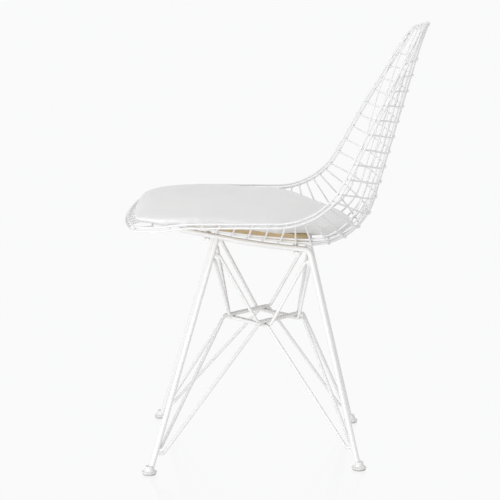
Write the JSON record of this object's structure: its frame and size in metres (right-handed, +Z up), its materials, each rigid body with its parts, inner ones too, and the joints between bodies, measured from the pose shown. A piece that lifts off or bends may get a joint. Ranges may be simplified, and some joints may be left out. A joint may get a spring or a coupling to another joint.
{
  "type": "wire mesh side chair",
  "caption": "Dining side chair: a dished white wire mesh shell with an upholstered seat pad on plywood, standing on a tower base of bent steel rods.",
  "frame": {"origin": "bottom centre of the bounding box, on the floor", "axes": "+Z up, -Y towards the front edge of the seat, +X to the sitter's left"},
  "size_m": [0.4904, 0.5796, 0.8325],
  "materials": {
    "coated_steel": "semi-gloss powder coat",
    "pad_leather": "satin",
    "plywood": "satin lacquer",
    "glide_plastic": "satin",
    "glide_felt": "matt"
  },
  "bodies": {
    "root": {"brace_lower_front_left": "coated_steel", "brace_lower_front_right": "coated_steel", "brace_lower_rear_left": "coated_steel", "brace_lower_rear_right": "coated_steel", "brace_upper_front_left": "coated_steel", "brace_upper_front_right": "coated_steel", "brace_upper_rear_left": "coated_steel", "brace_upper_rear_right": "coated_steel", "cross_bar_front": "coated_steel", "cross_bar_rear": "coated_steel", "cross_wire_01": "coated_steel", "cross_wire_02": "coated_steel", "cross_wire_03": "coated_steel", "cross_wire_04": "coated_steel", "cross_wire_05": "coated_steel", "cross_wire_06": "coated_steel", "cross_wire_07": "coated_steel", "cross_wire_08": "coated_steel", "cross_wire_09": "coated_steel", "cross_wire_10": "coated_steel", "cross_wire_11": "coated_steel", "cross_wire_12": "coated_steel", "cross_wire_13": "coated_steel", "cross_wire_14": "coated_steel", "cross_wire_15": "coated_steel", "cross_wire_16": "coated_steel", "cross_wire_17": "coated_steel", "cross_wire_18": "coated_steel", "cross_wire_19": "coated_steel", "cross_wire_20": "coated_steel", "cross_wire_21": "coated_steel", "cross_wire_22": "coated_steel", "cross_wire_23": "coated_steel", "cross_wire_24": "coated_steel", "cross_wire_25": "coated_steel", "front_leg_left": "coated_steel", "front_leg_right": "coated_steel", "glide_boots": "glide_plastic", "glide_discs": "glide_felt", "length_wire_01": "coated_steel", "length_wire_02": "coated_steel", "length_wire_03": "coated_steel", "length_wire_04": "coated_steel", "length_wire_05": "coated_steel", "length_wire_06": "coated_steel", "length_wire_07": "coated_steel", "length_wire_08": "coated_steel", "length_wire_09": "coated_steel", "length_wire_10": "coated_steel", "length_wire_11": "coated_steel", "rim_wire_inner": "coated_steel", "rim_wire_outer": "coated_steel", "seat_board": "plywood", "seat_pad": "pad_leather", "side_frame_left": "coated_steel", "side_frame_right": "coated_steel"}
  },
  "joints": []
}
